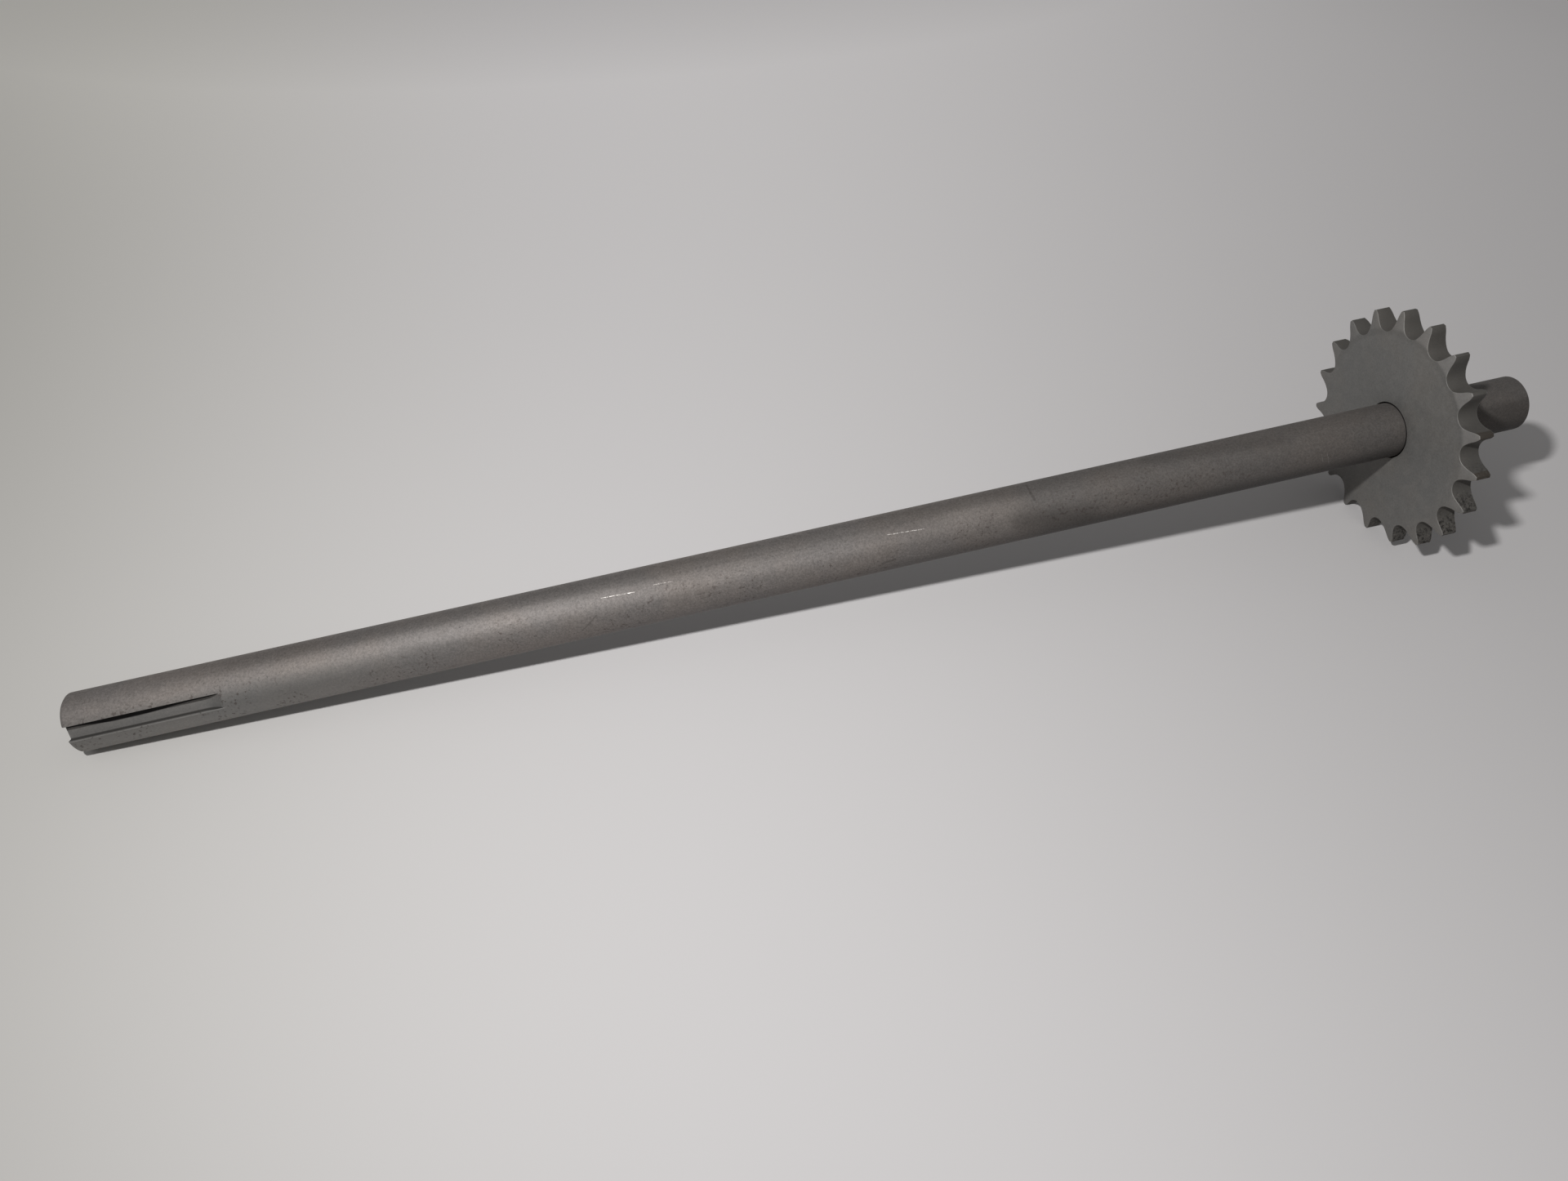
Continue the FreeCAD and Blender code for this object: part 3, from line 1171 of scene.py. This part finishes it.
def mark_teeth(steel, sprocket, flank, cloud):
    """A faint ring at the bevel's start, crust on the lower teeth, two rough tips.

    The crust is dark pits and pale spots on the flanks of the teeth that point down.
    """
    tip = tip_radius_of(sprocket) / MILLIMETRE
    bevel_start = bevel_start_of(sprocket) / MILLIMETRE
    wavy = steel.reach + (cloud - 0.5) * 3.0 - bevel_start
    ring = steel.between(wavy, -3.4, -1.6, -0.6, 1.0)
    ring = ring * (1.0 - steel.step(abs(steel.angle + 10.0), 45.0, 90.0))
    steel.lay(ring * (1.0 - flank) * 0.22, FAINT_RING)

    lower = steel.between(steel.angle, 58.0, 95.0, 160.0, 190.0)
    wavy = steel.reach + (cloud - 0.5) * 9.0 - bevel_start
    lower = lower * steel.step(wavy, -0.9, 3.6)
    crust = steel.noise(0.8, detail=4.0, roughness=0.6)
    pits = steel.step(crust, 0.42, 0.66) * lower * flank
    steel.lay(pits * 0.85, BLACK_PIT)
    rough_tips = steel.between(steel.angle, 46.0, 52.0, 80.0, 86.0) * flank
    rough_tips = rough_tips * steel.step(steel.reach + crust * 2.0, tip - 1.53, tip - 0.33)
    steel.lay(rough_tips * 0.75, BROWN_TIP)
    pale = steel.step(steel.noise(1.1, roughness=0.6), 0.56, 0.66) * lower * flank
    steel.lay(pale * 0.35, PALE_SPOT)
    steel.height = steel.height - pits * 1.5 + rough_tips * crust * 4.0


def make_plate_finish(sprocket, bar):
    steel = BlastedSteel("plate_blasted_steel", sprocket, speckled=0.55)
    bevel_start = bevel_start_of(sprocket) / MILLIMETRE
    bore = (bar.diameter / 2 + sprocket.bore_clearance) / MILLIMETRE
    depth = depth_under_face(steel, sprocket, bar)
    sunk = steel.step(depth, 0.10, 0.35)
    flank = sunk * steel.step(steel.reach, *TOOTH_ZONE)
    bevel = steel.step(steel.reach - bevel_start, -0.6, 1.0) * (1.0 - flank)
    cloud = steel.noise(0.5, detail=3.0, roughness=0.6)
    shade_teeth(steel, depth, flank, bevel, cloud)
    mark_teeth(steel, sprocket, flank, cloud)
    # Painted shade: the bore's wall is nearly black next to the bar
    shade_in_bore = sunk * (1.0 - steel.step(steel.reach, bore + 0.14, bore + 0.54))
    steel.lay(shade_in_bore * 0.9, PLATE_BORE_PAINTED_SHADE)
    steel.rough = steel.rough + flank * 0.1
    return steel.close()


def make_weld_finish(weld):
    return BlastedSteel("weld_blasted_steel", weld, speckled=1.0).close()


def make_floor_finish(stage):
    """Plain pale paper, lighter further back and a little warmer on the left.

    The room's uneven light is painted into the colour: painted_light is a cubic in X and Y
    over the part that the camera sees, and level beyond it.
    """
    finish = Finish("pale_floor")
    x = finish.clamp(finish.part(finish.place, "X"), -0.56, 0.81)
    y = finish.clamp(finish.part(finish.place, "Y"), -0.27, 0.93)
    painted_light = 1.0 + x * (-0.111 + x * (0.662 + 0.164 * x - 2.681 * y))
    painted_light = painted_light + y * (0.381 + 1.329 * x + y * (3.56 - 1.485 * x - 1.795 * y))
    painted_light = painted_light + (finish.noise(3.0) - 0.5) * 0.03
    warm = tint(stage.floor_colour, 1.015, 1.016, 0.955)
    colour = finish.mix(finish.step(x, -0.5, -0.05), warm, stage.floor_colour)
    colour = finish.scale(colour, finish.clamp(painted_light, 0.0, BRIGHTEST_FLOOR))
    return finish.surface({"Base Color": colour, "Roughness": 0.85})


# Stage


def make_floor(stage):
    """A wide flat square at height zero."""
    corners = [
        (-FLOOR_REACH, -FLOOR_REACH, 0.0),
        (FLOOR_REACH, -FLOOR_REACH, 0.0),
        (FLOOR_REACH, FLOOR_REACH, 0.0),
        (-FLOOR_REACH, FLOOR_REACH, 0.0),
    ]
    mesh = bpy.data.meshes.new("floor")
    mesh.from_pydata(corners, [], [(0, 1, 2, 3)])
    mesh.materials.append(make_floor_finish(stage))
    floor = bpy.data.objects.new("floor", mesh)
    bpy.context.scene.collection.objects.link(floor)


def make_lamp(stage):
    lamp = bpy.data.lights.new("key_lamp", "AREA")
    lamp.shape = "DISK"
    lamp.size = stage.lamp_size
    lamp.energy = stage.lamp_power
    holder = bpy.data.objects.new("key_lamp", lamp)
    holder.location = stage.lamp_place
    aim = Vector(stage.lamp_aim) - Vector(stage.lamp_place)
    holder.rotation_euler = aim.to_track_quat("-Z", "Y").to_euler()
    bpy.context.scene.collection.objects.link(holder)


def make_world(stage):
    world = bpy.data.worlds.new("even_light")
    world.use_nodes = True
    background = world.node_tree.nodes["Background"]
    background.inputs["Color"].default_value = (1.0, 1.0, 1.0, 1.0)
    background.inputs["Strength"].default_value = stage.fill
    bpy.context.scene.world = world


def make_camera(stage):
    camera = bpy.data.cameras.new("camera")
    camera.sensor_fit = "HORIZONTAL"
    camera.sensor_width = 36.0
    camera.lens = stage.lens
    camera.clip_start = 0.01
    camera.clip_end = 50.0
    holder = bpy.data.objects.new("camera", camera)
    turn = Euler(stage.camera_turn).to_matrix().to_4x4()
    holder.matrix_world = Matrix.Translation(stage.eye) @ turn
    bpy.context.scene.collection.objects.link(holder)
    bpy.context.scene.camera = holder


# Operators, panel and registration


class SPROCKETSHAFT_OT_make_bar(bpy.types.Operator):
    """Build the round bar with its keyway"""

    bl_idname = "sprocket_shaft.make_bar"
    bl_label = "Bar"

    def execute(self, context):
        bar, sprocket = context.scene.shaft_bar, context.scene.shaft_sprocket
        mesh = make_bar_mesh(bar, sprocket)
        finish = make_bar_finish(bar, sprocket)
        add_piece("bar", mesh, "shaft", finish)
        return {"FINISHED"}


class SPROCKETSHAFT_OT_make_sprocket(bpy.types.Operator):
    """Build the toothed plate"""

    bl_idname = "sprocket_shaft.make_sprocket"
    bl_label = "Sprocket plate"

    def execute(self, context):
        bar, sprocket = context.scene.shaft_bar, context.scene.shaft_sprocket
        mesh = make_sprocket_mesh(sprocket, bar)
        finish = make_plate_finish(sprocket, bar)
        add_piece("sprocket_plate", mesh, "sprocket", finish)
        return {"FINISHED"}


class SPROCKETSHAFT_OT_make_weld(bpy.types.Operator):
    """Build the weld behind the plate"""

    bl_idname = "sprocket_shaft.make_weld"
    bl_label = "Weld bead"

    def execute(self, context):
        scene = context.scene
        mesh = make_weld_mesh(scene.shaft_weld, scene.shaft_bar, scene.shaft_sprocket)
        finish = make_weld_finish(scene.shaft_weld)
        add_piece("weld_ripples", mesh, "weld_bead", finish, WELD_CREASE)
        return {"FINISHED"}


class SPROCKETSHAFT_OT_set_stage(bpy.types.Operator):
    """Set up the floor, the light and the camera"""

    bl_idname = "sprocket_shaft.set_stage"
    bl_label = "Stage"

    def execute(self, context):
        stage = context.scene.shaft_stage
        make_floor(stage)
        make_lamp(stage)
        make_world(stage)
        make_camera(stage)
        context.scene.view_settings.view_transform = "Standard"
        return {"FINISHED"}


class SPROCKETSHAFT_PT_panel(bpy.types.Panel):
    bl_idname = "SPROCKETSHAFT_PT_panel"
    bl_label = "Sprocket Shaft"
    bl_space_type = "VIEW_3D"
    bl_region_type = "UI"
    bl_category = "Sprocket Shaft"

    def draw(self, context):
        groups = (
            (SPROCKETSHAFT_OT_make_bar, context.scene.shaft_bar),
            (SPROCKETSHAFT_OT_make_sprocket, context.scene.shaft_sprocket),
            (SPROCKETSHAFT_OT_make_weld, context.scene.shaft_weld),
            (SPROCKETSHAFT_OT_set_stage, context.scene.shaft_stage),
        )
        for operator, settings in groups:
            box = self.layout.box()
            for name in settings.bl_rna.properties.keys():
                if name not in ("rna_type", "name"):
                    box.prop(settings, name)
            box.operator(operator.bl_idname)


SETTINGS = {
    "shaft_bar": BarSettings,
    "shaft_sprocket": SprocketSettings,
    "shaft_weld": WeldSettings,
    "shaft_stage": StageSettings,
}
TOOLS = (
    SPROCKETSHAFT_OT_make_bar,
    SPROCKETSHAFT_OT_make_sprocket,
    SPROCKETSHAFT_OT_make_weld,
    SPROCKETSHAFT_OT_set_stage,
    SPROCKETSHAFT_PT_panel,
)


def register():
    for name, group in SETTINGS.items():
        bpy.utils.register_class(group)
        setattr(bpy.types.Scene, name, PointerProperty(type=group))
    for tool in TOOLS:
        bpy.utils.register_class(tool)


def unregister():
    for tool in reversed(TOOLS):
        bpy.utils.unregister_class(tool)
    for name, group in reversed(SETTINGS.items()):
        delattr(bpy.types.Scene, name)
        bpy.utils.unregister_class(group)


def main():
    register()
    bpy.ops.sprocket_shaft.make_bar()
    bpy.ops.sprocket_shaft.make_sprocket()
    bpy.ops.sprocket_shaft.make_weld()
    bpy.ops.sprocket_shaft.set_stage()


if __name__ == "__main__":
    main()
